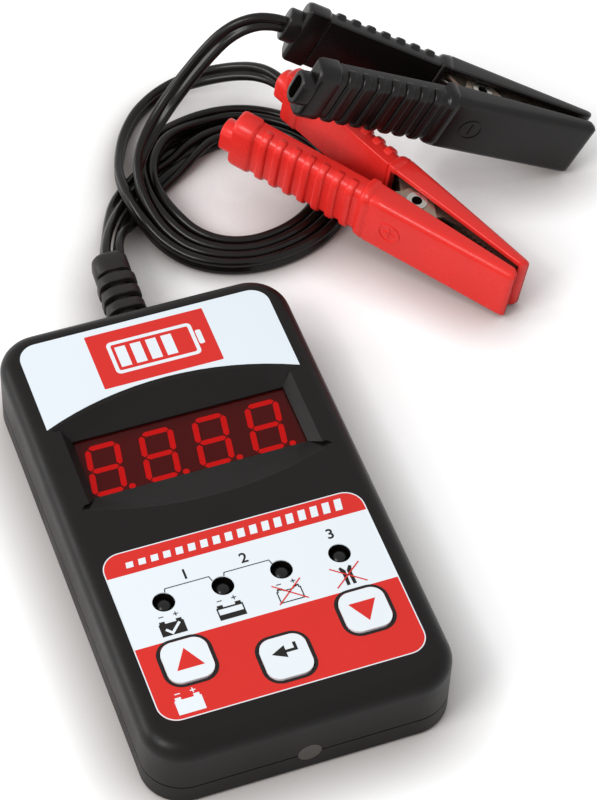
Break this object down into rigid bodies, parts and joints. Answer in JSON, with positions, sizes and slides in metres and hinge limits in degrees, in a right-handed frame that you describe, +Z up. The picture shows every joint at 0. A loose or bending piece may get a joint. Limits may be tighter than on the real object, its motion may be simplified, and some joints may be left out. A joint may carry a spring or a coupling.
{
  "type": "battery tester",
  "caption": "Hand-held battery tester with a four-digit display, lamps, press keys, twin-core leads and two insulated spring clamps.",
  "frame": {"origin": "middle of the housing's underside", "axes": "+X to the right with the keys towards the user, +Y from the keys to the display and the lead entry, +Z up out of the front panel"},
  "size_m": [0.1642, 0.2003, 0.0494],
  "materials": {
    "case_black": "fine moulded texture",
    "screw_steel": "zinc plated",
    "window_red": "clear red filter",
    "display_black": "matt",
    "segment_red": "diffuse",
    "label_white": "satin film",
    "film_print": "satin film",
    "key_white": "satin",
    "switch_black": "moulded",
    "lamp_dark": "smoked",
    "board_green": "solder mask",
    "chip_black": "moulded epoxy",
    "can_steel": "drawn can",
    "ceramic": "coated",
    "sleeve_blue": "sleeve",
    "tin_brass": "tinned",
    "wire_red": "pvc",
    "wire_black": "pvc",
    "plug_grey": "moulded",
    "boot_rubber": "moulded",
    "lead_pvc": "glossy pvc",
    "cover_red": "soft pvc",
    "cover_black": "soft pvc",
    "clamp_steel": "nickel plated",
    "rivet_steel": "plated",
    "spring_steel": "bright"
  },
  "bodies": {
    "tester": {"upper_case": "case_black", "lower_case": "case_black", "case_screws": "screw_steel", "display_window": "window_red", "display_block": "display_black", "display_segments": "segment_red", "face_label": "label_white", "keypad_film": "film_print", "key_switches": "switch_black", "led_1": "lamp_dark", "led_2": "lamp_dark", "led_3": "lamp_dark", "led_4": "lamp_dark", "circuit_board": "board_green", "board_screws": "screw_steel", "microcontroller": "chip_black", "crystal": "can_steel", "load_resistors": "ceramic", "load_transistor": "chip_black", "capacitors": "sleeve_blue", "voltage_regulator": "chip_black", "lead_terminals": "tin_brass", "inner_wires_red": "wire_red", "inner_wires_black": "wire_black", "end_plug": "plug_grey", "strain_relief": "boot_rubber", "red_lead": "lead_pvc", "red_rear_cover": "cover_red", "red_rear_lever": "clamp_steel", "red_rivet": "rivet_steel", "red_spring": "spring_steel", "red_crimp": "tin_brass", "black_lead": "lead_pvc", "black_rear_cover": "cover_black", "black_rear_lever": "clamp_steel", "black_rivet": "rivet_steel", "black_spring": "spring_steel", "black_crimp": "tin_brass"},
    "key_up_body": {"key_up": "key_white", "plunger_up": "switch_black"},
    "key_enter_body": {"key_enter": "key_white", "plunger_enter": "switch_black"},
    "key_down_body": {"key_down": "key_white", "plunger_down": "switch_black"},
    "red_clamp_front": {"red_front_cover": "cover_red", "red_front_lever": "clamp_steel"},
    "black_clamp_front": {"black_front_cover": "cover_black", "black_front_lever": "clamp_steel"}
  },
  "joints": [
    {"name": "key_up_press", "type": "slide", "parent": "tester", "child": "key_up_body", "axis": [0, 0, -1], "range_m": [0, 0.0005], "stiffness_N_per_m": 400, "springref_m": -0.0005},
    {"name": "key_enter_press", "type": "slide", "parent": "tester", "child": "key_enter_body", "axis": [0, 0, -1], "range_m": [0, 0.0005], "stiffness_N_per_m": 400, "springref_m": -0.0005},
    {"name": "key_down_press", "type": "slide", "parent": "tester", "child": "key_down_body", "axis": [0, 0, -1], "range_m": [0, 0.0005], "stiffness_N_per_m": 400, "springref_m": -0.0005},
    {"name": "red_clamp_squeeze", "type": "hinge", "parent": "tester", "child": "red_clamp_front", "pos_m": [0.07456, 0.07129, 0.01186], "axis": [-0.0717, 0.0876, -0.9936], "range_deg": [0, 16], "stiffness_Nm_per_rad": 0.6, "springref_deg": -20.05, "deforming": ["red_spring"]},
    {"name": "black_clamp_squeeze", "type": "hinge", "parent": "tester", "child": "black_clamp_front", "pos_m": [0.09747, 0.09269, 0.02124], "axis": [-0.4275, 0.051, -0.9026], "range_deg": [0, 16], "stiffness_Nm_per_rad": 0.6, "springref_deg": -20.05, "deforming": ["black_spring"]}
  ]
}
